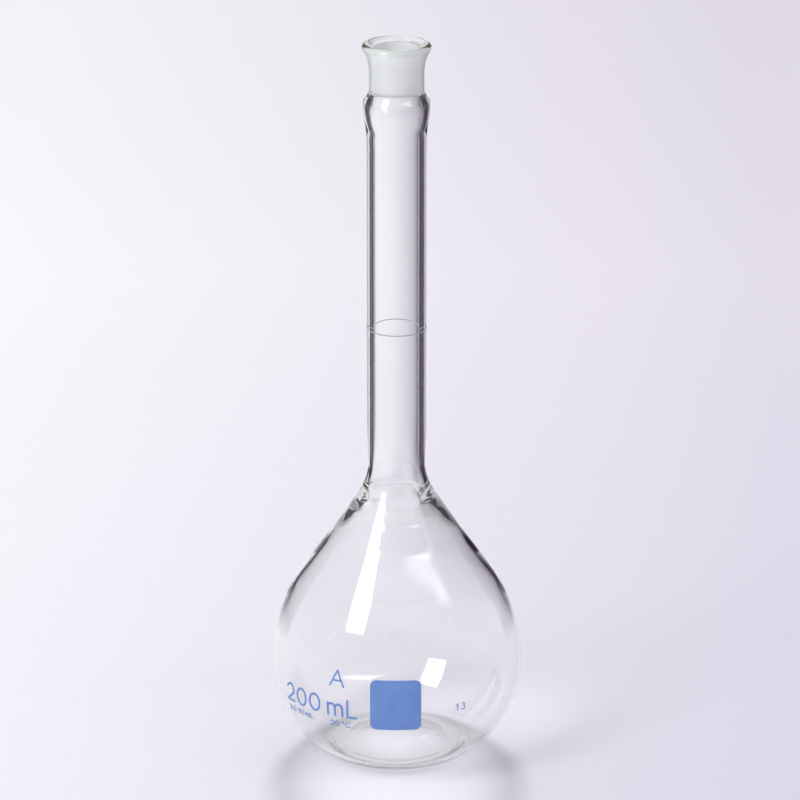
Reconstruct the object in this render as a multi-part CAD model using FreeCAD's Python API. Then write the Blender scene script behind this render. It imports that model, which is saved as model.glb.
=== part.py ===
import FreeCAD, Part

import math
import os

from FreeCAD import Vector

# Clear borosilicate volumetric flask for 200 mL. A blown pear-shaped bulb, a long drawn neck and a ground
# stopper socket with a flared lip are sealed end to end. A graduation ring and blue fired enamel marks are
# printed on the glass. Millimetres, +Z up along the axis, origin at the middle of the base, front towards -Y.

# Bulb
BULB_RADIUS = 36.6
LOWER_ARC_RADIUS = 29.7
UPPER_ARC_RADIUS = 47.5
SHOULDER_HALF_ANGLE = 34.1
BULB_WALL = 1.3
BASE_RING_RADIUS = 17.4
BASE_RING_WIDTH = 2.4
HEEL_RADIUS = 7.2
BASE_THICKNESS = 2.5
PUSH_UP = 2.2

# Ground socket for a stopper, with the lip that closes it
OVERALL_HEIGHT = 213.6
STOPPER_DIAMETER = 13.0
STOPPER_TAPER = 0.1
GROUND_LENGTH = 13.2
SOCKET_WALL = 1.4
LIP_FLARE = 2.0
LIP_BEAD_RADIUS = 1.15
LIP_FLARE_ARC = 13.2
MOUTH_SLOPE = 25.0

# Neck, with the bulge under the socket and the seal to the bulb
NECK_STEP = 0.65
NECK_WALL = 1.65
COLLAR_BULGE = 1.0
COLLAR_ROUND = 3.5
COLLAR_RUN = 12.0
WAIST_DEPTH = 0.35
WAIST_RUN = 9.2
ROOT_FILLET = 18.0
SEAL_LAND = 3.4
SEAL_RADIUS = 1.5
SEAL_BULGE = 0.3

# Printed and fired marks. An azimuth is in degrees from the front, positive to the right, and a level is the
# middle of a mark above or below the bulb's widest circle.
ENAMEL = 0.1
PRINT_REACH = 4.0
GRADUATION_HEIGHT = 129.6
GRADUATION_WIDTH = 0.3
PATCH_WIDTH = 14.7
PATCH_HEIGHT = 15.4
PATCH_CORNER = 1.9
PATCH_AZIMUTH = -0.4
PATCH_LEVEL = 0.1
CAPACITY_AZIMUTH = -39.1
CAPACITY_LEVEL = -2.0
CAPACITY_LETTER = 5.8
CAPACITY_STROKE = 0.68
CLASS_AZIMUTH = -28.2
CLASS_LEVEL = 6.9
CLASS_LETTER = 5.2
CLASS_STROKE = 0.5
TOLERANCE_AZIMUTH = -51.0
TOLERANCE_LEVEL = -7.1
TEMPERATURE_AZIMUTH = -27.0
TEMPERATURE_LEVEL = -7.2
STOPPER_MARK_AZIMUTH = 30.3
STOPPER_MARK_LEVEL = -1.9
STOPPER_MARK_LETTER = 2.3
SMALL_LETTER = 1.9
SMALL_STROKE = 0.26

# Sizes that follow from those above
SHOULDER_ANGLE = math.radians(SHOULDER_HALF_ANGLE)
SOCKET_RADIUS = STOPPER_DIAMETER / 2 + SOCKET_WALL
NECK_RADIUS = SOCKET_RADIUS + NECK_STEP
COLLAR_RADIUS = NECK_RADIUS + COLLAR_BULGE
WAIST_RADIUS = NECK_RADIUS - WAIST_DEPTH
LIP_RADIUS = SOCKET_RADIUS + LIP_FLARE
BORE_RADIUS = STOPPER_DIAMETER / 2
THROAT_RADIUS = BORE_RADIUS - GROUND_LENGTH * STOPPER_TAPER / 2


def at(radius, height):
    """A point of a profile, which lies in the XZ plane."""
    return Vector(radius, 0, height)


def polar(centre, radius, angle):
    return centre + Vector(radius * math.cos(angle), 0, radius * math.sin(angle))


def heading(start, end):
    """The angle in the XZ plane from one point to another."""
    return math.atan2(end.z - start.z, end.x - start.x)


def line(start, end):
    return Part.LineSegment(start, end).toShape()


def arc(centre, radius, start, end):
    middle = polar(centre, radius, (start + end) / 2)
    return Part.Arc(polar(centre, radius, start), middle, polar(centre, radius, end)).toShape()


def revolve(edges):
    """A solid of revolution about Z from the closed profile that the edges make."""
    wire = Part.Wire(Part.__sortEdges__(edges))
    return Part.Face(wire).revolve(Vector(0, 0, 0), Vector(0, 0, 1), 360)


# Places that two pieces share
HALF_TURN = math.pi
QUARTER = math.pi / 2
ALONG_SHOULDER = Vector(-math.sin(SHOULDER_ANGLE), 0, math.cos(SHOULDER_ANGLE))
OFF_SHOULDER = Vector(math.cos(SHOULDER_ANGLE), 0, math.sin(SHOULDER_ANGLE))

LOWER_CENTRE_RADIUS = BULB_RADIUS - LOWER_ARC_RADIUS
WIDEST_HEIGHT = HEEL_RADIUS + math.sqrt(
    (LOWER_ARC_RADIUS - HEEL_RADIUS) ** 2 - (BASE_RING_RADIUS - LOWER_CENTRE_RADIUS) ** 2
)
LOWER_CENTRE = at(LOWER_CENTRE_RADIUS, WIDEST_HEIGHT)
UPPER_CENTRE = at(BULB_RADIUS - UPPER_ARC_RADIUS, WIDEST_HEIGHT)
HEEL_CENTRE = at(BASE_RING_RADIUS, HEEL_RADIUS)
HEEL_ANGLE = heading(LOWER_CENTRE, HEEL_CENTRE)

# The shoulder's straight cone runs up to the fillet at the neck's root.
SHOULDER_START = polar(UPPER_CENTRE, UPPER_ARC_RADIUS, SHOULDER_ANGLE)
CONE_AT_WAIST = SHOULDER_START.z + (SHOULDER_START.x - WAIST_RADIUS) / math.tan(SHOULDER_ANGLE)
WAIST_HEIGHT = CONE_AT_WAIST + ROOT_FILLET * math.tan(SHOULDER_ANGLE / 2)
ROOT_CENTRE = at(WAIST_RADIUS + ROOT_FILLET, WAIST_HEIGHT)
ROOT_OUTER = polar(ROOT_CENTRE, ROOT_FILLET, HALF_TURN + SHOULDER_ANGLE)
ROOT_INNER = polar(ROOT_CENTRE, ROOT_FILLET + NECK_WALL, HALF_TURN + SHOULDER_ANGLE)

# The seal is a round bead that swells the wall a little outside and more inside. The seam is the level plane
# through its middle.
SEAL_DEPTH = SEAL_RADIUS - SEAL_BULGE
SEAL_CENTRE = ROOT_OUTER - ALONG_SHOULDER * SEAL_LAND - OFF_SHOULDER * SEAL_DEPTH
SEAM_OUTER = SEAL_CENTRE + at(SEAL_RADIUS, 0)
SEAM_INNER = SEAL_CENTRE - at(SEAL_RADIUS, 0)


def seal_edge(offset, side):
    """Where the bead meets a wall that lies this far out from its middle, above it or below it."""
    half = math.sqrt(SEAL_RADIUS**2 - offset**2)
    return SEAL_CENTRE + OFF_SHOULDER * offset + ALONG_SHOULDER * (side * half)


SEAL_OUTER_LOW = seal_edge(SEAL_DEPTH, -1)
SEAL_OUTER_HIGH = seal_edge(SEAL_DEPTH, 1)
SEAL_INNER_LOW = seal_edge(SEAL_DEPTH - NECK_WALL, -1)
SEAL_INNER_HIGH = seal_edge(SEAL_DEPTH - NECK_WALL, 1)

# The lip is a bead, and the mouth slopes from it down to the top of the ground bore.
LIP_CENTRE = at(LIP_RADIUS - LIP_BEAD_RADIUS, OVERALL_HEIGHT - LIP_BEAD_RADIUS)
MOUTH_ANGLE = QUARTER + math.radians(MOUTH_SLOPE)
MOUTH_EDGE = polar(LIP_CENTRE, LIP_BEAD_RADIUS, MOUTH_ANGLE)
GROUND_TOP = MOUTH_EDGE.z - (MOUTH_EDGE.x - BORE_RADIUS) * math.tan(math.radians(MOUTH_SLOPE))
GROUND_BOTTOM = GROUND_TOP - GROUND_LENGTH

# The collar is the bulge under the socket, and its widest circle is the seam there.
COLLAR_CENTRE_RADIUS = COLLAR_RADIUS - COLLAR_ROUND
COLLAR_TOP_ANGLE = math.acos((SOCKET_RADIUS - COLLAR_CENTRE_RADIUS) / COLLAR_ROUND)
COLLAR_HEIGHT = GROUND_BOTTOM - COLLAR_ROUND * math.sin(COLLAR_TOP_ANGLE)
COLLAR_CENTRE = at(COLLAR_CENTRE_RADIUS, COLLAR_HEIGHT)


def cap(radius, rise, height):
    """An arc from the rim of a shallow dome, which has this height at its rim, to its top on the axis."""
    dome_radius = (radius**2 + rise**2) / (2 * rise)
    centre = at(0, height + rise - dome_radius)
    return arc(centre, dome_radius, heading(centre, at(radius, height)), QUARTER)


def bulb_outside():
    flat_start = BASE_RING_RADIUS - BASE_RING_WIDTH
    return [
        cap(flat_start, PUSH_UP, 0),
        line(at(flat_start, 0), at(BASE_RING_RADIUS, 0)),
        arc(HEEL_CENTRE, HEEL_RADIUS, -QUARTER, HEEL_ANGLE),
        arc(LOWER_CENTRE, LOWER_ARC_RADIUS, HEEL_ANGLE, 0),
        arc(UPPER_CENTRE, UPPER_ARC_RADIUS, 0, SHOULDER_ANGLE),
        line(SHOULDER_START, SEAL_OUTER_LOW),
        arc(SEAL_CENTRE, SEAL_RADIUS, heading(SEAL_CENTRE, SEAL_OUTER_LOW), 0),
    ]


def bulb_inside():
    heel_radius = HEEL_RADIUS - BULB_WALL
    reach = LOWER_ARC_RADIUS - HEEL_RADIUS
    heel_height = BASE_THICKNESS + heel_radius
    floor_radius = LOWER_CENTRE_RADIUS + math.sqrt(reach**2 - (WIDEST_HEIGHT - heel_height) ** 2)
    heel_centre = at(floor_radius, heel_height)
    heel_angle = heading(LOWER_CENTRE, heel_centre)
    shoulder_start = polar(UPPER_CENTRE, UPPER_ARC_RADIUS - BULB_WALL, SHOULDER_ANGLE)
    seal_angle = heading(SEAL_CENTRE, SEAL_INNER_LOW) % (2 * math.pi)
    return [
        cap(floor_radius, PUSH_UP, BASE_THICKNESS),
        arc(heel_centre, heel_radius, -QUARTER, heel_angle),
        arc(LOWER_CENTRE, LOWER_ARC_RADIUS - BULB_WALL, heel_angle, 0),
        arc(UPPER_CENTRE, UPPER_ARC_RADIUS - BULB_WALL, 0, SHOULDER_ANGLE),
        line(shoulder_start, SEAL_INNER_LOW),
        arc(SEAL_CENTRE, SEAL_RADIUS, seal_angle, HALF_TURN),
    ]


def bulb():
    axis = line(at(0, PUSH_UP), at(0, PUSH_UP + BASE_THICKNESS))
    return revolve([axis, *bulb_outside(), line(SEAM_OUTER, SEAM_INNER), *bulb_inside()])


def neck_side(inset):
    """The neck's wall from the root fillet to the collar, drawn in from the outside by the inset."""
    run = COLLAR_BULGE**2 + COLLAR_RUN**2
    sweep_radius = run / (4 * COLLAR_BULGE)
    sweep = math.asin(COLLAR_RUN / (2 * sweep_radius))
    collar_start = COLLAR_HEIGHT - COLLAR_RUN
    neck = NECK_RADIUS - inset
    straight_start = at(neck, WAIST_HEIGHT + WAIST_RUN)
    collar_low = at(neck + sweep_radius, collar_start)
    collar_high = at(COLLAR_RADIUS - inset - sweep_radius, COLLAR_HEIGHT)
    return [
        arc(ROOT_CENTRE, ROOT_FILLET + inset, HALF_TURN + SHOULDER_ANGLE, HALF_TURN),
        line(at(WAIST_RADIUS - inset, WAIST_HEIGHT), straight_start),
        line(straight_start, at(neck, collar_start)),
        arc(collar_low, sweep_radius, HALF_TURN, HALF_TURN - sweep),
        arc(collar_high, sweep_radius, -sweep, 0),
    ]


def neck_inside():
    return [
        arc(SEAL_CENTRE, SEAL_RADIUS, HALF_TURN, heading(SEAL_CENTRE, SEAL_INNER_HIGH)),
        line(SEAL_INNER_HIGH, ROOT_INNER),
        *neck_side(NECK_WALL),
    ]


def neck_tube():
    collar_seam = line(at(COLLAR_RADIUS, COLLAR_HEIGHT), at(COLLAR_RADIUS - NECK_WALL, COLLAR_HEIGHT))
    outside = [
        arc(SEAL_CENTRE, SEAL_RADIUS, 0, heading(SEAL_CENTRE, SEAL_OUTER_HIGH)),
        line(SEAL_OUTER_HIGH, ROOT_OUTER),
        *neck_side(0),
    ]
    return revolve([*outside, collar_seam, *neck_inside(), line(SEAM_OUTER, SEAM_INNER)])


def ground_socket():
    # The outer flare leaves the socket upright and runs into the lip's bead.
    flare_centre_radius = SOCKET_RADIUS + LIP_FLARE_ARC
    reach = LIP_FLARE_ARC + LIP_BEAD_RADIUS
    drop = math.sqrt(reach**2 - (flare_centre_radius - LIP_CENTRE.x) ** 2)
    flare_centre = at(flare_centre_radius, LIP_CENTRE.z - drop)

    inner_round = COLLAR_ROUND - NECK_WALL
    throat_angle = math.acos((THROAT_RADIUS - COLLAR_CENTRE_RADIUS) / inner_round)
    throat_end = polar(COLLAR_CENTRE, inner_round, throat_angle)
    throat_start = at(THROAT_RADIUS, GROUND_BOTTOM)
    return revolve(
        [
            arc(COLLAR_CENTRE, COLLAR_ROUND, 0, COLLAR_TOP_ANGLE),
            line(at(SOCKET_RADIUS, GROUND_BOTTOM), at(SOCKET_RADIUS, flare_centre.z)),
            arc(flare_centre, LIP_FLARE_ARC, HALF_TURN, heading(flare_centre, LIP_CENTRE)),
            arc(LIP_CENTRE, LIP_BEAD_RADIUS, heading(LIP_CENTRE, flare_centre), MOUTH_ANGLE),
            line(MOUTH_EDGE, at(BORE_RADIUS, GROUND_TOP)),
            line(at(BORE_RADIUS, GROUND_TOP), throat_start),
            line(throat_start, throat_end),
            arc(COLLAR_CENTRE, inner_round, throat_angle, 0),
            line(at(COLLAR_RADIUS - NECK_WALL, COLLAR_HEIGHT), at(COLLAR_RADIUS, COLLAR_HEIGHT)),
        ]
    )


def graduation_ring():
    bottom = GRADUATION_HEIGHT - GRADUATION_WIDTH / 2
    ring = Part.makeCylinder(NECK_RADIUS + ENAMEL, GRADUATION_WIDTH, Vector(0, 0, bottom))
    return ring.cut(Part.makeCylinder(NECK_RADIUS, GRADUATION_WIDTH, Vector(0, 0, bottom)))


def enamel_skin():
    """The layer on the bulb's round wall that every printed mark is cut from."""
    low = polar(LOWER_CENTRE, LOWER_ARC_RADIUS, HEEL_ANGLE)
    low_outer = polar(LOWER_CENTRE, LOWER_ARC_RADIUS + ENAMEL, HEEL_ANGLE)
    high_outer = polar(UPPER_CENTRE, UPPER_ARC_RADIUS + ENAMEL, SHOULDER_ANGLE)
    return revolve(
        [
            arc(LOWER_CENTRE, LOWER_ARC_RADIUS, HEEL_ANGLE, 0),
            arc(UPPER_CENTRE, UPPER_ARC_RADIUS, 0, SHOULDER_ANGLE),
            line(SHOULDER_START, high_outer),
            arc(UPPER_CENTRE, UPPER_ARC_RADIUS + ENAMEL, SHOULDER_ANGLE, 0),
            arc(LOWER_CENTRE, LOWER_ARC_RADIUS + ENAMEL, 0, HEEL_ANGLE),
            line(low_outer, low),
        ]
    )


def flat(x, y):
    """A point of a letter, which is drawn in the XY plane."""
    return Vector(x, y, 0)


def around(centre, radius, degrees):
    angle = math.radians(degrees)
    return centre + flat(radius * math.cos(angle), radius * math.sin(angle))


def sweep_edge(centre, radius, start, end):
    points = [around(centre, radius, degrees) for degrees in (start, (start + end) / 2, end)]
    return Part.Arc(*points).toShape()


def bar(start, end, stroke):
    """A straight stroke with round ends."""
    turn = math.degrees(math.atan2(end.y - start.y, end.x - start.x))
    half = stroke / 2
    edges = [
        line(around(start, half, turn - 90), around(end, half, turn - 90)),
        sweep_edge(end, half, turn - 90, turn + 90),
        line(around(end, half, turn + 90), around(start, half, turn + 90)),
        sweep_edge(start, half, turn + 90, turn + 270),
    ]
    return Part.Face(Part.Wire(edges))


def bend(centre, radius, start, end, stroke):
    """A stroke along an arc, counter-clockwise from start to end, with round ends."""
    half = stroke / 2
    edges = [
        sweep_edge(centre, radius + half, start, end),
        sweep_edge(around(centre, radius, end), half, end, end + 180),
        sweep_edge(centre, radius - half, end, start),
        sweep_edge(around(centre, radius, start), half, start + 180, start + 360),
    ]
    return Part.Face(Part.Wire(edges))


def oval(width, height, centre, stroke):
    """A closed oval stroke."""
    rings = []
    for grow in (stroke / 2, -stroke / 2):
        long_half = height / 2 + grow
        short_half = width / 2 + grow
        ellipse = Part.Ellipse(centre + flat(0, long_half), centre + flat(short_half, 0), centre)
        rings.append(Part.Wire(ellipse.toShape()))
    return Part.Face(rings[0]).cut(Part.Face(rings[1]))


def disc(centre, radius):
    return Part.Face(Part.Wire(Part.Circle(centre, Vector(0, 0, 1), radius).toShape()))


def ring(centre, radius, stroke):
    """A closed round stroke."""
    return disc(centre, radius + stroke / 2).cut(disc(centre, radius - stroke / 2))


# Each letter's width and its strokes, as shares of the letter's height between stroke middles
LETTERS = {
    "0": (0.72, [("oval", (0.36, 0.5), 0.72, 1.0)]),
    "1": (0.24, [("bar", (0.24, 0), (0.24, 1)), ("bar", (0.24, 1), (0, 0.8))]),
    "2": (
        0.66,
        [("bend", (0.33, 0.68), 0.32, -38, 160), ("bar", (0.58, 0.48), (0, 0)), ("bar", (0, 0), (0.66, 0))],
    ),
    "3": (0.56, [("bend", (0.26, 0.755), 0.245, -90, 150), ("bend", (0.26, 0.255), 0.255, -150, 90)]),
    "A": (
        0.94,
        [("bar", (0, 0), (0.47, 1)), ("bar", (0.94, 0), (0.47, 1)), ("bar", (0.17, 0.36), (0.77, 0.36))],
    ),
    "C": (0.82, [("bend", (0.5, 0.5), 0.5, 50, 310)]),
    "L": (0.5, [("bar", (0, 1), (0, 0)), ("bar", (0, 0), (0.5, 0))]),
    "m": (
        0.92,
        [
            ("bar", (0, 0), (0, 0.7)),
            ("bend", (0.23, 0.47), 0.23, 0, 180),
            ("bar", (0.46, 0), (0.46, 0.47)),
            ("bend", (0.69, 0.47), 0.23, 0, 180),
            ("bar", (0.92, 0), (0.92, 0.47)),
        ],
    ),
    "±": (
        0.56,
        [("bar", (0, 0.6), (0.56, 0.6)), ("bar", (0.28, 0.3), (0.28, 0.9)), ("bar", (0, 0), (0.56, 0))],
    ),
    ".": (0.1, [("dot", (0.05, 0))]),
    "°": (0.3, [("ring", (0.15, 0.85), 0.15)]),
}
LETTER_GAP = 0.26
WORD_GAP = 0.25
SPACED_OUT_GAP = 0.55
DOT_SHARE = 0.7


def letter(character, height, stroke):
    """The prism of one letter about its own middle, along Z, long enough to pass through the enamel."""
    width, strokes = LETTERS[character]
    size = height - stroke
    middle = flat(width * size / 2, size / 2)
    faces = []
    for kind, place, *rest in strokes:
        here = flat(*place) * size - middle
        if kind == "bar":
            faces.append(bar(here, flat(*rest[0]) * size - middle, stroke))
        elif kind == "bend":
            faces.append(bend(here, rest[0] * size, rest[1], rest[2], stroke))
        elif kind == "oval":
            faces.append(oval(rest[0] * size, rest[1] * size, here, stroke))
        elif kind == "ring":
            faces.append(ring(here, rest[0] * size, stroke))
        else:
            faces.append(disc(here, stroke * DOT_SHARE))
    prisms = [face.extrude(Vector(0, 0, 2 * PRINT_REACH)) for face in faces]
    prism = prisms[0].multiFuse(prisms[1:]).removeSplitter() if len(prisms) > 1 else prisms[0]
    prism.translate(Vector(0, 0, -PRINT_REACH))
    return prism


def wall_radius(level):
    """The bulb's outer radius at a level above or below its widest circle."""
    arc_radius = UPPER_ARC_RADIUS if level > 0 else LOWER_ARC_RADIUS
    return BULB_RADIUS - arc_radius + math.sqrt(arc_radius**2 - level**2)


def stand_on_bulb(prism, azimuth, level):
    """Turn a prism's face square to the bulb's wall at a place on it."""
    arc_radius = UPPER_ARC_RADIUS if level > 0 else LOWER_ARC_RADIUS
    lean = math.asin(level / arc_radius)
    turn = math.radians(azimuth)
    outward = Vector(math.sin(turn), -math.cos(turn), 0)
    across = Vector(math.cos(turn), math.sin(turn), 0)
    square = outward * math.cos(lean) + Vector(0, 0, math.sin(lean))
    upward = square.cross(across)
    spot = outward * wall_radius(level) + Vector(0, 0, WIDEST_HEIGHT + level)
    facing = FreeCAD.Rotation(across, upward, square, "ZXY")
    prism.Placement = FreeCAD.Placement(spot, facing) * prism.Placement
    return prism


def print_line(skin, text, azimuth, level, height, stroke, letter_gap=LETTER_GAP):
    """A line of letters that follows the bulb round, with its middle at the azimuth."""
    size = height - stroke
    gap = letter_gap * size + stroke / 2
    word_gap = WORD_GAP * size
    characters = text.replace(" ", "")
    widths = sum(LETTERS[character][0] * size for character in characters)
    place = -(widths + gap * (len(characters) - 1) + word_gap * text.count(" ")) / 2
    solids = []
    for character in text:
        if character == " ":
            place += word_gap
            continue
        width = LETTERS[character][0] * size
        turn = azimuth + math.degrees((place + width / 2) / wall_radius(level))
        prism = stand_on_bulb(letter(character, height, stroke), turn, level)
        solids += skin.common(prism).Solids
        place += width + gap
    return Part.makeCompound(solids)


def marking_patch(skin):
    """A plain block of enamel with round corners, to write on."""
    plate = Part.makeBox(
        PATCH_WIDTH, PATCH_HEIGHT, 2 * PRINT_REACH, Vector(-PATCH_WIDTH / 2, -PATCH_HEIGHT / 2, -PRINT_REACH)
    )
    corners = [edge for edge in plate.Edges if abs(edge.Length - 2 * PRINT_REACH) < 1e-6]
    plate = plate.makeFillet(PATCH_CORNER, corners)
    return skin.common(stand_on_bulb(plate, PATCH_AZIMUTH, PATCH_LEVEL))


def capacity():
    """The volume inside the glass up to the graduation ring, in millilitres."""
    inside = [
        *bulb_inside(),
        *neck_inside(),
        line(at(COLLAR_RADIUS - NECK_WALL, COLLAR_HEIGHT), at(0, COLLAR_HEIGHT)),
        line(at(0, COLLAR_HEIGHT), at(0, PUSH_UP + BASE_THICKNESS)),
    ]
    filled = Part.makeCylinder(BULB_RADIUS, GRADUATION_HEIGHT)
    return revolve(inside).common(filled).Volume / 1000


def main():
    skin = enamel_skin()
    pieces = {
        "bulb": bulb(),
        "neck_tube": neck_tube(),
        "ground_socket": ground_socket(),
        "graduation_ring": graduation_ring(),
        "marking_patch": marking_patch(skin),
        "capacity_mark": print_line(
            skin, "200 mL", CAPACITY_AZIMUTH, CAPACITY_LEVEL, CAPACITY_LETTER, CAPACITY_STROKE
        ),
        "class_mark": print_line(skin, "A", CLASS_AZIMUTH, CLASS_LEVEL, CLASS_LETTER, CLASS_STROKE),
        "tolerance_mark": print_line(
            skin, "± 0.10 mL", TOLERANCE_AZIMUTH, TOLERANCE_LEVEL, SMALL_LETTER, SMALL_STROKE
        ),
        "temperature_mark": print_line(
            skin, "20 °C", TEMPERATURE_AZIMUTH, TEMPERATURE_LEVEL, SMALL_LETTER, SMALL_STROKE
        ),
        "stopper_size_mark": print_line(
            skin,
            "13",
            STOPPER_MARK_AZIMUTH,
            STOPPER_MARK_LEVEL,
            STOPPER_MARK_LETTER,
            SMALL_STROKE,
            SPACED_OUT_GAP,
        ),
    }
    os.makedirs("parts", exist_ok=True)
    for name, shape in pieces.items():
        shape.exportStep(f"parts/{name}.step")
        print(name, len(shape.Solids), "solids, valid", shape.isValid(), round(shape.Volume, 2), "mm3")
    print("capacity to the ring", round(capacity(), 2), "mL")


main()
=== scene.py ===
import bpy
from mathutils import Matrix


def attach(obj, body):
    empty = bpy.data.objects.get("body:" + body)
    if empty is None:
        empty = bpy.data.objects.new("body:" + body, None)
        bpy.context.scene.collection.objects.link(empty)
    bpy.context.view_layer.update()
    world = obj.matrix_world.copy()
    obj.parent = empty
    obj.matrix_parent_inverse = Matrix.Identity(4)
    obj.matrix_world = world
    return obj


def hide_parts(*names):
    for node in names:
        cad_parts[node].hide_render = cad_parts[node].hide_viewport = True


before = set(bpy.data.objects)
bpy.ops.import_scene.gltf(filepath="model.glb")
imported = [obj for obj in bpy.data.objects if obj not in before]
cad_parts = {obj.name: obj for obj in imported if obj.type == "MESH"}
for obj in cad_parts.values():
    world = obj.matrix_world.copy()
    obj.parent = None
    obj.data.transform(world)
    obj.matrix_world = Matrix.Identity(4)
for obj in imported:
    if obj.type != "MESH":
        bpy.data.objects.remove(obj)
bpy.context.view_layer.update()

import math

import bmesh
import bpy
from bpy.props import FloatProperty, FloatVectorProperty, IntProperty, PointerProperty
from mathutils import Matrix, Quaternion, Vector, noise

bl_info = {
    "name": "Volumetric flask",
    "version": (1, 0, 0),
    "blender": (4, 5, 0),
    "location": "View3D > Sidebar > Flask",
    "description": "Dresses the packed flask in blown glass and fired enamel, and sets a studio stage",
    "category": "Mesh",
}

MM = 0.001
BODY = "root"
# Radius and height in millimetres of the inside of the wall, from the ground bore down through the collar
COLLAR_INSIDE = (
    (6.15, 199.0),
    (6.7, 197.9),
    (7.3, 196.6),
    (7.65, 195.2),
    (7.72, 193.8),
    (7.62, 192.0),
    (7.3, 190.0),
    (6.9, 188.3),
    (6.68, 186.8),
    (6.6, 185.0),
)
# The same where the neck was sealed to the bulb
SEAL_INSIDE = (
    (6.6, 92.0),
    (6.9, 88.0),
    (7.15, 86.5),
    (7.6, 84.8),
    (8.5, 82.2),
    (8.9, 80.2),
    (9.1, 78.0),
    (9.8, 76.2),
    (12.0, 74.2),
    (13.8, 71.5),
    (17.4, 67.7),
)
# How far up the shoulder's cone the blown bulb begins, and how much of its sink swells out again below
KNEE_PLACE = 0.52
KNEE_SWELL = 0.35
# Waves of the uneven seal round the neck, sideways and up and down
SEAL_WAVES_SIDE = 1.7
SEAL_WAVES_UP = 1.3
SEAL_SHIFT_UP = Vector((0, 0, 5))
ENAMEL_NODES = (
    "marking_patch",
    "capacity_mark",
    "class_mark",
    "tolerance_mark",
    "temperature_mark",
    "stopper_size_mark",
)

# Colour sockets of a Mix node, which share their names with its number sockets
MIX_A = 6
MIX_B = 7
MIX_RESULT = 2
# Light that each skin of the glass passes straight on in the middle, and how steeply it falls to the rims
THROUGH_MIDDLE = 1.14
THROUGH_FALL = 1.7

# The stage: places in metres from the middle of the flask's base, and angles in radians
CAMERA_PLACE = (0.001, -1.416, 0.595)
CAMERA_TILT = math.radians(71)
LIGHT_BOUNCES = 40
SOFTBOX_PLACE = (-0.569, -0.513, 0.698)
SOFTBOX_AIM = Vector((0, 0, 0.055))
SOFTBOX_SIZE = (0.34, 0.59)
SOFTBOX_ROLL = math.radians(10)
BACK_LIGHT_HEADING = Vector((0.01, -0.9, -0.85))
BACK_LIGHT_SPREAD = 0.22
FILL_ASIDE = math.radians(48)
FILL_UP = math.radians(46.8)
FILL_LEAN = 0.4
# Size of the soft fill on a sphere of directions that has a radius of 1
FILL_SIZE = (0.5, 0.5, 0.066)
FLOOR_REACH = 6.0
FLOOR_DROP = 0.0001
# Where the floor's painted light begins and ends, paler towards the back and darker towards the right in
# place of the softbox's falloff, and how far its grain shifts them
FLOOR_PAINTED_LIGHT_START = -0.05
FLOOR_PAINTED_LIGHT_END = 0.5
FLOOR_PAINTED_SHADE_SIDE = 0.15
FLOOR_GRAIN = 0.14
FLAG_REACH = 0.22
FLAG_HEIGHT = 0.26
# Height over which the flags thin out towards the floor
FLAG_FADE = 0.028
# Share of the room's light at each sine of elevation: a wall that darkens upwards, and a bright ceiling
ROOM_LEVELS = ((0.0, 0.75), (0.12, 0.68), (0.35, 0.33), (0.6, 0.36), (1.0, 1.0))
# Density of the flags behind the flask from left to right: open in the middle, graded on the right
FLAG_DENSITY = (
    (0.0, 1.0),
    (0.355, 1.0),
    (0.359, 0.0),
    (0.489, 0.0),
    (0.616, 0.68),
    (0.62, 1.0),
    (1.0, 1.0),
)


def linear(hex_colour):
    """The linear red, green and blue of an sRGB hex value."""
    shares = [int(hex_colour[i : i + 2], 16) / 255 for i in (1, 3, 5)]
    return tuple(s / 12.92 if s <= 0.04045 else ((s + 0.055) / 1.055) ** 2.4 for s in shares)


def length(name, description, millimetres):
    """A length that a user can change, given in millimetres and kept in metres."""
    return FloatProperty(
        name=name,
        description=description,
        default=millimetres * MM,
        unit="LENGTH",
        subtype="DISTANCE",
        precision=5,
    )


def colour(name, description, hex_colour):
    """A colour that a user can change, given as sRGB hex and kept linear."""
    return FloatVectorProperty(
        name=name, description=description, default=linear(hex_colour), subtype="COLOR", min=0, max=1
    )


def brightness(name, description, level):
    """A brightness that a user can change."""
    return FloatProperty(name=name, description=description, default=level)


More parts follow.
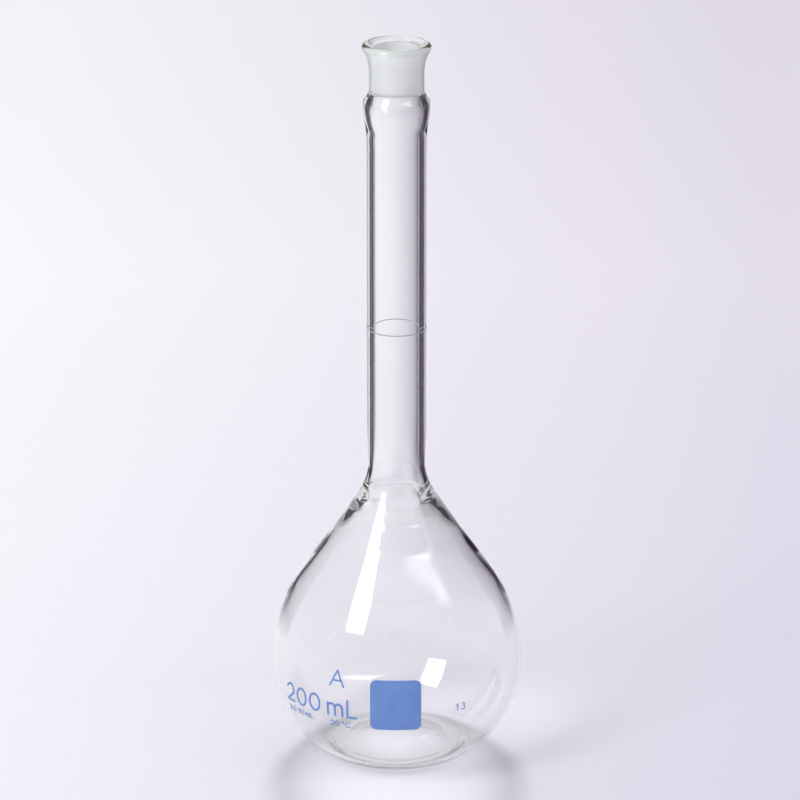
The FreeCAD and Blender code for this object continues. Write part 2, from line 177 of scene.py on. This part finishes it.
class FlaskSizes(bpy.types.PropertyGroup):
    """The glass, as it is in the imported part, and what the flame did to it."""

    bulb_radius: length("Bulb radius", "Outer radius at the bulb's widest circle", 36.6)
    lower_arc: length("Lower arc", "Radius of the bulb's side below the widest circle", 29.7)
    upper_arc: length("Upper arc", "Radius of the bulb's side above the widest circle", 47.5)
    shoulder_angle: FloatProperty(
        name="Shoulder angle",
        description="Angle between the shoulder's cone and the axis",
        default=math.radians(34.1),
        unit="ROTATION",
        subtype="ANGLE",
    )
    bulb_wall: length("Bulb wall", "Thickness of the blown wall", 1.3)
    base_ring: length("Base ring", "Outer radius of the flat ring that the flask stands on", 17.4)
    base_ring_width: length("Base ring width", "Width of that flat ring", 2.4)
    heel: length("Heel", "Radius between the base and the bulb's side", 7.2)
    base_thickness: length("Base thickness", "Glass between the base and the floor of the bulb", 2.5)
    push_up: length("Push-up", "Rise of the base in the middle", 2.2)
    height: length("Height", "From the base to the top of the lip", 213.6)
    bore: length("Bore radius", "Radius of the ground bore at its top", 6.5)
    ground_length: length("Ground length", "Length of the ground bore", 13.2)
    socket_wall: length("Socket wall", "Wall outside the top of the ground bore", 1.4)
    lip_flare: length("Lip flare", "How far the lip stands out from the socket", 2.0)
    lip_bead: length("Lip bead", "Radius of the fire-polished bead", 1.15)
    lip_arc: length("Lip arc", "Radius of the flare under the lip", 13.2)
    neck_step: length("Neck step", "How far the neck stands out from the socket", 0.65)
    collar_bulge: length("Collar bulge", "How far the collar stands out from the neck", 1.0)
    collar_round: length("Collar round", "Radius over the top of the collar", 3.5)
    collar_run: length("Collar run", "Length over which the neck widens to the collar", 12.0)
    waist_depth: length("Waist depth", "How far the neck narrows above its root", 0.35)
    waist_run: length("Waist run", "Length over which it narrows", 9.2)
    root_fillet: length("Root fillet", "Radius between the neck and the shoulder", 18.0)
    shoulder_sink: length("Shoulder sink", "How far the shoulder sinks where the blown bulb begins", 0.28)
    seal_unevenness: length("Seal unevenness", "How far the hand-made seal strays from round", 0.35)


class FlaskFinish(bpy.types.PropertyGroup):
    """Colours of the glass and of the fired marks."""

    glass_depth: colour("Glass depth", "What is left of white light deep inside the glass", "#EAF2CF")
    enamel: colour("Enamel", "Blue fired enamel", "#5F87CB")
    enamel_thin: colour("Thin enamel", "The same enamel where the print is thin", "#7A9DD9")
    ring: colour("Ring", "Etched and stained graduation ring", "#D6D4DC")
    ground: colour("Ground", "Light that the ground bore scatters", "#F9FBFA")


class FlaskStage(bpy.types.PropertyGroup):
    """Floor, light and camera."""

    # Painted light: the floor's colour is darker in front and paler well behind, standing in for the
    # softbox's light that falls off towards the back
    floor_near_painted_dim: colour("Floor, near", "Pale floor in front of the flask", "#DFDEE4")
    floor_far_painted_light: colour("Floor, far", "Pale floor well behind it", "#F4F2F4")
    # Painted shade: the floor's colour turns darker towards the right, away from the key light
    floor_right_painted_shade: colour("Floor, right", "How the floor is tinted away from the key light", "#EAE6F0")
    ambient: colour("Ambient", "Tint of the light from all round", "#FAFAFF")
    net: colour("Net", "Dark net of the flags behind the flask", "#3F3545")
    room_light: brightness("Room light", "Brightness of the room overhead", 0.98)
    key_radiance: brightness("Key radiance", "Brightness of the softbox", 6.0)
    back_light: brightness("Back light", "Strength of the far light behind", 1.5)
    fill_radiance: brightness("Fill radiance", "Brightness of the soft fill", 5.0)
    flag_distance: length("Flag distance", "How far behind the flask the dark flags stand", 120)
    lens: FloatProperty(
        name="Lens",
        description="Focal length of the camera",
        default=234.0,
        subtype="DISTANCE_CAMERA",
    )
    turns: IntProperty(name="Steps round", description="Faces round the glass", default=192, min=48)


def rgba(value):
    return (*value, 1.0)


def grey(level):
    return rgba((level, level, level))


def add_node(tree, kind, inputs=None, stops=(), **settings):
    """Add a node, set it up, and set its inputs or link them where a socket is given."""
    node = tree.nodes.new(kind)
    for name, value in settings.items():
        setattr(node, name, value)
    for name, value in (inputs or {}).items():
        if isinstance(value, bpy.types.NodeSocket):
            tree.links.new(value, node.inputs[name])
        else:
            node.inputs[name].default_value = value
    ramp = node.color_ramp.elements if stops else ()
    while len(ramp) < len(stops):
        ramp.new(1.0)
    for element, (position, level) in zip(ramp, stops):
        element.position = position
        element.color = grey(level)
    return node


def new_material(name):
    """A material with no nodes yet, and its node tree."""
    material = bpy.data.materials.new(name)
    material.use_nodes = True
    material.node_tree.nodes.clear()
    return material, material.node_tree


class Outline:
    """A line in the XZ plane, drawn by moving one vertex, that is spun into glass."""

    def __init__(self, bm, start):
        self.bm = bm
        self.tip = bm.verts.new(start)

    def line(self, end, steps=1):
        start = self.tip.co.copy()
        drawn = []
        for step in range(1, steps + 1):
            self.tip = bmesh.ops.extrude_vert_indiv(self.bm, verts=[self.tip])["verts"][0]
            self.tip.co = start.lerp(end, step / steps)
            drawn.append(self.tip)
        return drawn

    def arc(self, centre, end, steps, turn=1):
        """Sweep about a centre to the heading of a point, counter-clockwise unless turn is -1."""
        start_angle = heading(centre, self.tip.co)
        sweep = (turn * (heading(centre, end) - start_angle)) % math.tau * turn
        before = set(self.bm.verts)
        swept = bmesh.ops.spin(
            self.bm, geom=[self.tip], cent=centre, axis=(0, -1, 0), angle=sweep, steps=steps
        )
        self.tip = next(item for item in swept["geom_last"] if isinstance(item, bmesh.types.BMVert))
        return [vert for vert in self.bm.verts if vert not in before]


def at(radius, height):
    return Vector((radius, 0, height))


def heading(start, end):
    return math.atan2(end.z - start.z, end.x - start.x)


def polar(centre, radius, angle):
    return centre + at(radius * math.cos(angle), radius * math.sin(angle))


def dome_centre(radius, rise, height):
    """The centre of a shallow dome that has this rim and rises by this much."""
    return at(0, height + rise - (radius**2 + rise**2) / (2 * rise))


def soften(bm, verts, passes):
    """Round the corners of the outline as flame does."""
    for _ in range(passes):
        bmesh.ops.smooth_vert(
            bm, verts=verts, factor=0.5, use_axis_x=True, use_axis_y=False, use_axis_z=True
        )


def draw_flask(bm, s, ground, sealed):
    """Draw the outside of the wall from the base up, and the inside from the lip down."""
    slope = s.shoulder_angle
    off = at(math.cos(slope), math.sin(slope))
    socket = s.bore + s.socket_wall
    neck = socket + s.neck_step
    collar = neck + s.collar_bulge
    waist = neck - s.waist_depth

    # Bulb
    lower_x = s.bulb_radius - s.lower_arc
    reach = s.lower_arc - s.heel
    widest = s.heel + math.sqrt(reach**2 - (s.base_ring - lower_x) ** 2)
    lower = at(lower_x, widest)
    upper = at(s.bulb_radius - s.upper_arc, widest)
    heel = at(s.base_ring, s.heel)
    heel_end = polar(lower, s.lower_arc, heading(lower, heel))
    equator = at(s.bulb_radius, widest)
    shoulder = polar(upper, s.upper_arc, slope)

    # Root of the neck and the shoulder under it
    waist_height = shoulder.z + (shoulder.x - waist) / math.tan(slope) + s.root_fillet * math.tan(slope / 2)
    root = at(waist + s.root_fillet, waist_height)
    root_outer = polar(root, s.root_fillet, math.pi + slope)
    knee = shoulder.lerp(root_outer, KNEE_PLACE) - off * s.shoulder_sink
    rise = knee - shoulder
    swell = KNEE_SWELL * s.shoulder_sink
    swell_radius = rise.length_squared / (8 * swell)
    swollen = (shoulder + knee) / 2 - at(rise.z, -rise.x).normalized() * (swell_radius - swell)

    # Lip, ground bore and collar
    lip = at(socket + s.lip_flare - s.lip_bead, s.height - s.lip_bead)
    mouth_slope = math.radians(25)
    chamfer_start = math.radians(8)
    ground_taper = 0.1
    mouth = polar(lip, s.lip_bead, math.pi / 2 + mouth_slope)
    ground_top = mouth.z - (mouth.x - s.bore) * math.tan(mouth_slope)
    ground_bottom = ground_top - s.ground_length
    throat = s.bore - s.ground_length * ground_taper / 2
    collar_x = collar - s.collar_round
    collar_rise = math.sqrt(s.collar_round**2 - (socket - collar_x) ** 2)
    collar_height = ground_bottom - collar_rise
    collar_centre = at(collar_x, collar_height)
    run_radius = (s.collar_bulge**2 + s.collar_run**2) / (4 * s.collar_bulge)
    run_start = collar_height - s.collar_run
    flare_x = socket + s.lip_arc
    flare = at(flare_x, lip.z - math.sqrt((s.lip_arc + s.lip_bead) ** 2 - (flare_x - lip.x) ** 2))

    # Outside
    flat = s.base_ring - s.base_ring_width
    pen = Outline(bm, at(0, s.push_up))
    pen.arc(dome_centre(flat, s.push_up, 0), at(flat, 0), steps=16, turn=-1)
    pen.line(at(s.base_ring, 0), steps=4)
    pen.arc(heel, heel_end, steps=10)
    pen.arc(lower, equator, steps=24)
    bend = pen.arc(upper, shoulder, steps=16)[-4:]
    cone = pen.arc(swollen, knee, steps=14)
    bend += cone[:3]
    neck_side = pen.line(root_outer, steps=12)
    turn = cone[-2:] + neck_side[:2]
    outer_root = neck_side[-4:]
    outer_root += pen.arc(root, at(waist, waist_height), steps=12, turn=-1)
    pen.line(at(neck, waist_height + s.waist_run), steps=4)
    pen.line(at(neck, run_start), steps=24)
    run_low = at(neck + run_radius, run_start)
    run_high = at(collar - run_radius, collar_height)
    pen.arc(run_low, run_high, steps=8, turn=-1)
    pen.arc(run_high, at(collar, collar_height), steps=8)
    notch = pen.arc(collar_centre, polar(collar_centre, s.collar_round, chamfer_start), steps=4)
    notch += pen.line(at(socket, ground_bottom), steps=16)
    notch += pen.line(at(socket, flare.z), steps=20)[:10]
    pen.arc(flare, lip, steps=10, turn=-1)
    pen.arc(lip, mouth, steps=20)

    # Inside
    edge = pen.line(at(s.bore, ground_top), steps=6)[-3:]
    ground_zone = pen.line(at(throat, ground_bottom), steps=16)
    edge += ground_zone[:3]
    inner_collar = []
    for radius, height in COLLAR_INSIDE:
        inner_collar += pen.line(at(radius * MM, height * MM), steps=4)
    neck_bore, seal_top = SEAL_INSIDE[0]
    inner_seal = pen.line(at(neck_bore * MM, seal_top * MM), steps=32)[-4:]
    for radius, height in SEAL_INSIDE[1:]:
        inner_seal += pen.line(at(radius * MM, height * MM), steps=4)
    inner_shoulder = polar(upper, s.upper_arc - s.bulb_wall, slope)
    pen.line(inner_shoulder, steps=8)
    pen.arc(upper, at(s.bulb_radius - s.bulb_wall, widest), steps=16, turn=-1)
    inner_heel = s.heel - s.bulb_wall
    floor_height = s.base_thickness + inner_heel
    floor_x = lower_x + math.sqrt(reach**2 - (widest - floor_height) ** 2)
    inner_heel_centre = at(floor_x, floor_height)
    pen.arc(lower, inner_heel_centre, steps=24, turn=-1)
    pen.arc(inner_heel_centre, at(floor_x, s.base_thickness), steps=10, turn=-1)
    pen.arc(dome_centre(floor_x, s.push_up, s.base_thickness), at(0, s.height), steps=16)

    for vert in ground_zone:
        vert[ground] = 1.0
    soften(bm, notch, passes=10)
    soften(bm, edge, passes=2)
    soften(bm, inner_collar, passes=8)
    soften(bm, bend, passes=3)
    soften(bm, turn, passes=2)
    soften(bm, outer_root[:8], passes=3)
    soften(bm, inner_seal, passes=3)
    for count, vert in enumerate(inner_seal):
        vert[sealed] = math.sin(math.pi * (count + 1) / (len(inner_seal) + 1))
    return throat, ground_top, ground_bottom


def make_borosilicate(finish):
    # Blown and drawn borosilicate glass: clear, with mirror-sharp reflections, faintly rippled where the
    # flame worked it, and green only where a ray runs a long way inside the wall. The ground bore is matt.
    # Light that falls through it on paper or enamel goes straight on: a little raised in the middle, in
    # place of the light that the bulb gathers there, and dimmed towards the rims.
    material, tree = new_material("borosilicate_glass")
    place = add_node(tree, "ShaderNodeTexCoord").outputs["Object"]
    ripple = add_node(tree, "ShaderNodeTexNoise", {"Vector": place, "Scale": 1 / (9 * MM), "Detail": 1.0})
    bump = add_node(
        tree, "ShaderNodeBump", {"Height": ripple.outputs["Fac"], "Strength": 0.06, "Distance": 0.05 * MM}
    )
    ground = add_node(tree, "ShaderNodeAttribute", attribute_name="ground")
    matt = add_node(
        tree, "ShaderNodeMapRange", {"Value": ground.outputs["Fac"], "To Min": 0.0, "To Max": 0.55}
    )
    glass = add_node(
        tree,
        "ShaderNodeBsdfPrincipled",
        {
            "Base Color": (1, 1, 1, 1),
            "Roughness": matt.outputs["Result"],
            "IOR": 1.473,
            "Transmission Weight": 1.0,
            "Normal": bump.outputs["Normal"],
        },
    )
    depth = add_node(
        tree, "ShaderNodeVolumeAbsorption", {"Color": rgba(finish.glass_depth), "Density": 13.0}
    )
    path = add_node(tree, "ShaderNodeLightPath")
    rim = add_node(tree, "ShaderNodeLayerWeight", {"Blend": 0.5})
    loss = add_node(
        tree, "ShaderNodeMath", {0: rim.outputs["Facing"], 1: THROUGH_FALL}, operation="POWER"
    )
    shade = add_node(
        tree,
        "ShaderNodeMix",
        {"Factor": loss.outputs["Value"], MIX_A: grey(THROUGH_MIDDLE), MIX_B: grey(0.0)},
        data_type="RGBA",
    )
    clear = add_node(tree, "ShaderNodeBsdfTransparent", {"Color": shade.outputs[MIX_RESULT]})
    surface = glass.outputs["BSDF"]
    for ray in ("Is Diffuse Ray", "Is Shadow Ray"):
        lit = add_node(
            tree, "ShaderNodeMixShader", {"Fac": path.outputs[ray], 1: surface, 2: clear.outputs["BSDF"]}
        )
        surface = lit.outputs["Shader"]
    add_node(tree, "ShaderNodeOutputMaterial", {"Surface": surface, "Volume": depth.outputs["Volume"]})
    return material


def make_ground_glass(finish):
    # Glass ground with fine grit to take a stopper: matt and white, it scatters light back and lets some
    # through. The pits of the grit are drawn coarser than they are, so that they show.
    material, tree = new_material("ground_glass")
    place = add_node(tree, "ShaderNodeTexCoord").outputs["Object"]
    grit = add_node(tree, "ShaderNodeTexNoise", {"Vector": place, "Scale": 1 / (0.5 * MM), "Detail": 3.0})
    pits = rgba([0.92 * value for value in finish.ground])
    shade = add_node(
        tree,
        "ShaderNodeMix",
        {"Factor": grit.outputs["Fac"], MIX_A: pits, MIX_B: rgba(finish.ground)},
        data_type="RGBA",
    ).outputs[MIX_RESULT]
    back = add_node(tree, "ShaderNodeBsdfPrincipled", {"Base Color": shade, "Roughness": 0.35})
    through = add_node(tree, "ShaderNodeBsdfTranslucent", {"Color": shade})
    matt = add_node(
        tree, "ShaderNodeMixShader", {"Fac": 0.35, 1: back.outputs["BSDF"], 2: through.outputs["BSDF"]}
    )
    clear = add_node(tree, "ShaderNodeBsdfTransparent")
    thin = add_node(
        tree, "ShaderNodeMixShader", {"Fac": 0.2, 1: matt.outputs["Shader"], 2: clear.outputs["BSDF"]}
    )
    add_node(tree, "ShaderNodeOutputMaterial", {"Surface": thin.outputs["Shader"]})
    return material


def make_enamel(finish):
    # Screen-printed enamel, fired on: opaque and satin, slightly uneven in thickness, with a fine grain that
    # is drawn coarser than it is, so that it shows.
    material, tree = new_material("fired_blue_enamel")
    place = add_node(tree, "ShaderNodeTexCoord").outputs["Object"]
    cloud = add_node(tree, "ShaderNodeTexNoise", {"Vector": place, "Scale": 1 / (4 * MM), "Detail": 3.0})
    shade = add_node(
        tree,
        "ShaderNodeMix",
        {"Factor": cloud.outputs["Fac"], MIX_A: rgba(finish.enamel), MIX_B: rgba(finish.enamel_thin)},
        data_type="RGBA",
    )
    grain = add_node(tree, "ShaderNodeTexNoise", {"Vector": place, "Scale": 1 / (0.35 * MM), "Detail": 2.0})
    bump = add_node(
        tree, "ShaderNodeBump", {"Height": grain.outputs["Fac"], "Strength": 0.3, "Distance": 0.02 * MM}
    )
    satin = add_node(
        tree, "ShaderNodeMapRange", {"Value": grain.outputs["Fac"], "To Min": 0.35, "To Max": 0.5}
    )
    enamel = add_node(
        tree,
        "ShaderNodeBsdfPrincipled",
        {
            "Base Color": shade.outputs[MIX_RESULT],
            "Roughness": satin.outputs["Result"],
            "IOR": 1.5,
            "Normal": bump.outputs["Normal"],
        },
    )
    add_node(tree, "ShaderNodeOutputMaterial", {"Surface": enamel.outputs["BSDF"]})
    return material


def make_etched_line(finish):
    # Etched line rubbed with a pale stain: matt and slightly broken along its length.
    material, tree = new_material("etched_stained_line")
    place = add_node(tree, "ShaderNodeTexCoord").outputs["Object"]
    etch = add_node(tree, "ShaderNodeTexNoise", {"Vector": place, "Scale": 1 / (0.8 * MM), "Detail": 2.0})
    thin = rgba([0.8 * value for value in finish.ring])
    full = rgba([min(1, 1.2 * value) for value in finish.ring])
    shade = add_node(
        tree,
        "ShaderNodeMix",
        {"Factor": etch.outputs["Fac"], MIX_A: thin, MIX_B: full},
        data_type="RGBA",
    ).outputs[MIX_RESULT]
    back = add_node(tree, "ShaderNodeBsdfDiffuse", {"Color": shade})
    through = add_node(tree, "ShaderNodeBsdfTranslucent", {"Color": shade})
    line = add_node(
        tree, "ShaderNodeMixShader", {"Fac": 0.5, 1: back.outputs["BSDF"], 2: through.outputs["BSDF"]}
    )
    add_node(tree, "ShaderNodeOutputMaterial", {"Surface": line.outputs["Shader"]})
    return material


def wear(node, material):
    """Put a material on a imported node."""
    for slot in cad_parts[node].material_slots:
        slot.material = material


def turn_round(bm, steps):
    """Spin an outline once round the flask's axis into a closed skin."""
    bmesh.ops.spin(
        bm,
        geom=bm.verts[:] + bm.edges[:],
        cent=(0, 0, 0),
        axis=(0, 0, 1),
        angle=math.tau,
        steps=steps,
        use_merge=True,
    )
    bmesh.ops.remove_doubles(bm, verts=bm.verts, dist=1e-7)
    bmesh.ops.recalc_face_normals(bm, faces=bm.faces)
    for face in bm.faces:
        face.smooth = True


def new_piece(scene, name, bm, material):
    """Make an object of a finished mesh."""
    mesh = bpy.data.meshes.new(name)
    bm.to_mesh(mesh)
    bm.free()
    mesh.materials.append(material)
    piece = bpy.data.objects.new(name, mesh)
    scene.collection.objects.link(piece)
    return piece


class FLASK_OT_glass(bpy.types.Operator):
    """Blow the bulb, neck and socket as one wall of glass and grind the bore"""

    bl_idname = "flask.glass"
    bl_label = "Glass"

    def execute(self, context):
        scene = context.scene
        sizes = scene.flask_sizes
        turns = scene.flask_stage.turns
        bm = bmesh.new()
        ground = bm.verts.layers.float.new("ground")
        sealed = bm.verts.layers.float.new("sealed")
        throat, ground_top, ground_bottom = draw_flask(bm, sizes, ground, sealed)
        turn_round(bm, turns)
        for vert in bm.verts:
            if vert[sealed]:
                outward = Vector((vert.co.x, vert.co.y, 0)).normalized()
                stray = sizes.seal_unevenness * vert[sealed]
                vert.co += outward * (stray * noise.noise(SEAL_WAVES_SIDE * outward))
                vert.co.z += 2 * stray * noise.noise(SEAL_WAVES_UP * outward + SEAL_SHIFT_UP)
        glass = new_piece(scene, "flask_glass", bm, make_borosilicate(scene.flask_finish))
        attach(glass, BODY)
        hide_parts("bulb", "neck_tube", "ground_socket")

        bm = bmesh.new()
        near = 0.05 * MM
        far = 0.25 * MM
        pen = Outline(bm, at(sizes.bore + near, ground_top - far))
        pen.line(at(throat + near, ground_bottom), steps=12)
        pen.line(at(throat + far, ground_bottom))
        pen.line(at(sizes.bore + far, ground_top - far), steps=12)
        pen.line(at(sizes.bore + near, ground_top - far))
        turn_round(bm, turns)
        layer = new_piece(scene, "ground_layer", bm, make_ground_glass(scene.flask_finish))
        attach(layer, BODY)
        return {"FINISHED"}


class FLASK_OT_marks(bpy.types.Operator):
    """Fire the enamel marks and stain the graduation ring"""

    bl_idname = "flask.marks"
    bl_label = "Marks"

    def execute(self, context):
        finish = context.scene.flask_finish
        enamel = make_enamel(finish)
        for node in ENAMEL_NODES:
            wear(node, enamel)
        wear("graduation_ring", make_etched_line(finish))
        return {"FINISHED"}


class FLASK_OT_stage(bpy.types.Operator):
    """Lay the floor and set the lights and the camera"""

    bl_idname = "flask.stage"
    bl_label = "Stage"

    def execute(self, context):
        scene = context.scene
        stage = scene.flask_stage

        self.light_room(scene, stage)
        self.lay_floor(scene, stage)
        self.hang_softbox(scene, stage)
        self.light_from_behind(scene, stage)
        self.stand_flags(scene, stage)

        camera = bpy.data.objects.new("camera", bpy.data.cameras.new("camera"))
        camera.data.lens = stage.lens
        camera.location = CAMERA_PLACE
        camera.rotation_euler = (CAMERA_TILT, 0, 0)
        scene.collection.objects.link(camera)
        scene.camera = camera
        scene.view_settings.view_transform = "Standard"
        scene.cycles.max_bounces = LIGHT_BOUNCES
        scene.cycles.transmission_bounces = LIGHT_BOUNCES
        scene.cycles.glossy_bounces = LIGHT_BOUNCES
        return {"FINISHED"}

    def light_room(self, scene, stage):
        """A pale wall that darkens upwards, a bright ceiling and one soft patch in front to the right."""
        world = bpy.data.worlds.new("studio")
        scene.world = world
        world.use_nodes = True
        tree = world.node_tree
        tree.nodes.clear()
        toward = add_node(tree, "ShaderNodeTexCoord").outputs["Generated"]
        rise = add_node(tree, "ShaderNodeSeparateXYZ", {"Vector": toward}).outputs["Z"]
        level = add_node(tree, "ShaderNodeValToRGB", {"Fac": rise}, ROOM_LEVELS)
        level.color_ramp.interpolation = "B_SPLINE"
        room = add_node(
            tree, "ShaderNodeMath", {0: level.outputs["Color"], 1: stage.room_light}, operation="MULTIPLY"
        )
        out = math.cos(FILL_UP)
        middle = (math.sin(FILL_ASIDE) * out, -math.cos(FILL_ASIDE) * out, math.sin(FILL_UP))
        facing = Matrix.Rotation(FILL_ASIDE, 3, "Z") @ Matrix.Rotation(-FILL_UP, 3, "X")
        leaning = facing @ Matrix.Rotation(FILL_LEAN, 3, "Y")
        patch = add_node(
            tree,
            "ShaderNodeMapping",
            {"Vector": toward, "Location": middle, "Rotation": leaning.to_euler(), "Scale": FILL_SIZE},
            vector_type="TEXTURE",
        )
        glow = add_node(
            tree, "ShaderNodeTexGradient", {"Vector": patch.outputs["Vector"]}, gradient_type="SPHERICAL"
        )
        fill = add_node(
            tree,
            "ShaderNodeMapRange",
            {"Value": glow.outputs["Fac"], "From Max": 0.7, "To Min": 0.0, "To Max": stage.fill_radiance},
            interpolation_type="SMOOTHSTEP",
        )
        total = add_node(
            tree, "ShaderNodeMath", {0: room.outputs["Value"], 1: fill.outputs["Result"]}, operation="ADD"
        )
        around = add_node(
            tree, "ShaderNodeBackground", {"Color": rgba(stage.ambient), "Strength": total.outputs["Value"]}
        )
        add_node(tree, "ShaderNodeOutputWorld", {"Surface": around.outputs["Background"]})

    def lay_floor(self, scene, stage):
        """Matt paper with a faint drawn grain. Its colour is painted paler towards the back and the left:
        painted light and shade in place of the softbox's falloff.
        """
        material, tree = new_material("matt_paper_floor_painted_light")
        place = add_node(tree, "ShaderNodeTexCoord").outputs["Object"]
        spot = add_node(tree, "ShaderNodeSeparateXYZ", {"Vector": place})
        # Painted light: how far back a spot lies, for the floor's colour that grows paler towards the back
        back = add_node(
            tree,
            "ShaderNodeMapRange",
            {"Value": spot.outputs["Y"], "From Min": FLOOR_PAINTED_LIGHT_START, "From Max": FLOOR_PAINTED_LIGHT_END},
        )
        # Painted shade: how far right a spot lies, for the floor's colour that darkens away from the key
        # light
        painted_shade_aside = add_node(
            tree,
            "ShaderNodeMapRange",
            {"Value": spot.outputs["X"], "From Min": -FLOOR_PAINTED_SHADE_SIDE, "From Max": FLOOR_PAINTED_SHADE_SIDE},
        )
        drawn = add_node(tree, "ShaderNodeMapping", {"Vector": place, "Scale": (1, 0.03, 1)})
        grain = add_node(
            tree,
            "ShaderNodeTexNoise",
            {"Vector": drawn.outputs["Vector"], "Scale": 1 / (0.7 * MM), "Detail": 2.0},
        )
        level = add_node(
            tree,
            "ShaderNodeMath",
            {0: grain.outputs["Fac"], 1: FLOOR_GRAIN, 2: back.outputs["Result"]},
            operation="MULTIPLY_ADD",
        )
        # The floor's colour with its painted light, darker in front and paler behind
        shade = add_node(
            tree,
            "ShaderNodeMix",
            {"Factor": level.outputs["Value"], MIX_A: rgba(stage.floor_near_painted_dim), MIX_B: rgba(stage.floor_far_painted_light)},
            data_type="RGBA",
        ).outputs[MIX_RESULT]
        # Painted shade laid over it, darker towards the right
        painted_shade_tint = add_node(
            tree,
            "ShaderNodeMix",
            {"Factor": painted_shade_aside.outputs["Result"], MIX_A: shade, MIX_B: rgba(stage.floor_right_painted_shade)},
            data_type="RGBA",
            blend_type="MULTIPLY",
        )
        paper = add_node(tree, "ShaderNodeBsdfDiffuse", {"Color": painted_shade_tint.outputs[MIX_RESULT]})
        add_node(tree, "ShaderNodeOutputMaterial", {"Surface": paper.outputs["BSDF"]})
        bm = bmesh.new()
        bmesh.ops.create_grid(bm, x_segments=1, y_segments=1, size=FLOOR_REACH)
        floor = new_piece(scene, "floor", bm, material)
        floor.location.z = -FLOOR_DROP

    def hang_softbox(self, scene, stage):
        """The key light, to the left in front."""
        key = bpy.data.lights.new("softbox", "AREA")
        key.shape = "RECTANGLE"
        key.size, key.size_y = SOFTBOX_SIZE
        key.energy = stage.key_radiance * math.pi * key.size * key.size_y
        lamp = bpy.data.objects.new("softbox", key)
        lamp.location = SOFTBOX_PLACE
        toward = SOFTBOX_AIM - lamp.location
        roll = Quaternion((0, 0, 1), SOFTBOX_ROLL)
        lamp.rotation_mode = "QUATERNION"
        lamp.rotation_quaternion = toward.to_track_quat("-Z", "Y") @ roll
        scene.collection.objects.link(lamp)

    def light_from_behind(self, scene, stage):
        """A large far light behind the flask that throws its soft shadow forwards."""
        back = bpy.data.lights.new("back_light", "SUN")
        back.energy = stage.back_light
        back.angle = BACK_LIGHT_SPREAD
        lamp = bpy.data.objects.new("back_light", back)
        lamp.rotation_euler = BACK_LIGHT_HEADING.to_track_quat("-Z", "Y").to_euler()
        lamp.visible_glossy = False
        lamp.visible_transmission = False
        scene.collection.objects.link(lamp)

    def stand_flags(self, scene, stage):
        """Flags of dark net behind the flask, seen only in the glass, that draw its edges."""
        net, tree = new_material("black_net")
        place = add_node(tree, "ShaderNodeTexCoord").outputs["Object"]
        spot = add_node(tree, "ShaderNodeSeparateXYZ", {"Vector": place})
        across = add_node(
            tree,
            "ShaderNodeMapRange",
            {"Value": spot.outputs["X"], "From Min": -FLAG_REACH, "From Max": FLAG_REACH},
        )
        layers = add_node(tree, "ShaderNodeValToRGB", {"Fac": across.outputs["Result"]}, FLAG_DENSITY)
        rise = add_node(tree, "ShaderNodeMapRange", {"Value": spot.outputs["Z"], "From Max": FLAG_FADE})
        density = add_node(
            tree,
            "ShaderNodeMath",
            {0: layers.outputs["Color"], 1: rise.outputs["Result"]},
            operation="MULTIPLY",
        )
        clear = add_node(tree, "ShaderNodeBsdfTransparent")
        thread = add_node(tree, "ShaderNodeBsdfDiffuse", {"Color": rgba(stage.net)})
        woven = add_node(
            tree,
            "ShaderNodeMixShader",
            {"Fac": density.outputs["Value"], 1: clear.outputs["BSDF"], 2: thread.outputs["BSDF"]},
        )
        add_node(tree, "ShaderNodeOutputMaterial", {"Surface": woven.outputs["Shader"]})
        bm = bmesh.new()
        corner = bm.verts.new((-FLAG_REACH, stage.flag_distance, 0))
        side = bmesh.ops.extrude_vert_indiv(bm, verts=[corner])
        bmesh.ops.translate(bm, verts=side["verts"], vec=(2 * FLAG_REACH, 0, 0))
        top = bmesh.ops.extrude_edge_only(bm, edges=side["edges"])
        raised = [item for item in top["geom"] if isinstance(item, bmesh.types.BMVert)]
        bmesh.ops.translate(bm, verts=raised, vec=(0, 0, FLAG_HEIGHT))
        flags = new_piece(scene, "flags", bm, net)
        flags.visible_camera = False
        flags.visible_diffuse = False
        flags.visible_shadow = False


class FLASK_PT_panel(bpy.types.Panel):
    """Shows a button for each step that builds the flask"""

    bl_label = "Volumetric flask"
    bl_idname = "FLASK_PT_panel"
    bl_space_type = "VIEW_3D"
    bl_region_type = "UI"
    bl_category = "Flask"

    def draw(self, context):
        for operator in OPERATORS:
            self.layout.operator(operator.bl_idname)


GROUPS = {"flask_sizes": FlaskSizes, "flask_finish": FlaskFinish, "flask_stage": FlaskStage}
OPERATORS = (FLASK_OT_glass, FLASK_OT_marks, FLASK_OT_stage)
CLASSES = (*GROUPS.values(), *OPERATORS, FLASK_PT_panel)


def register():
    for cls in CLASSES:
        bpy.utils.register_class(cls)
    for name, group in GROUPS.items():
        setattr(bpy.types.Scene, name, PointerProperty(type=group))


def unregister():
    for name in GROUPS:
        delattr(bpy.types.Scene, name)
    for cls in reversed(CLASSES):
        bpy.utils.unregister_class(cls)


def main():
    register()
    bpy.ops.flask.glass()
    bpy.ops.flask.marks()
    bpy.ops.flask.stage()


if __name__ == "__main__":
    main()
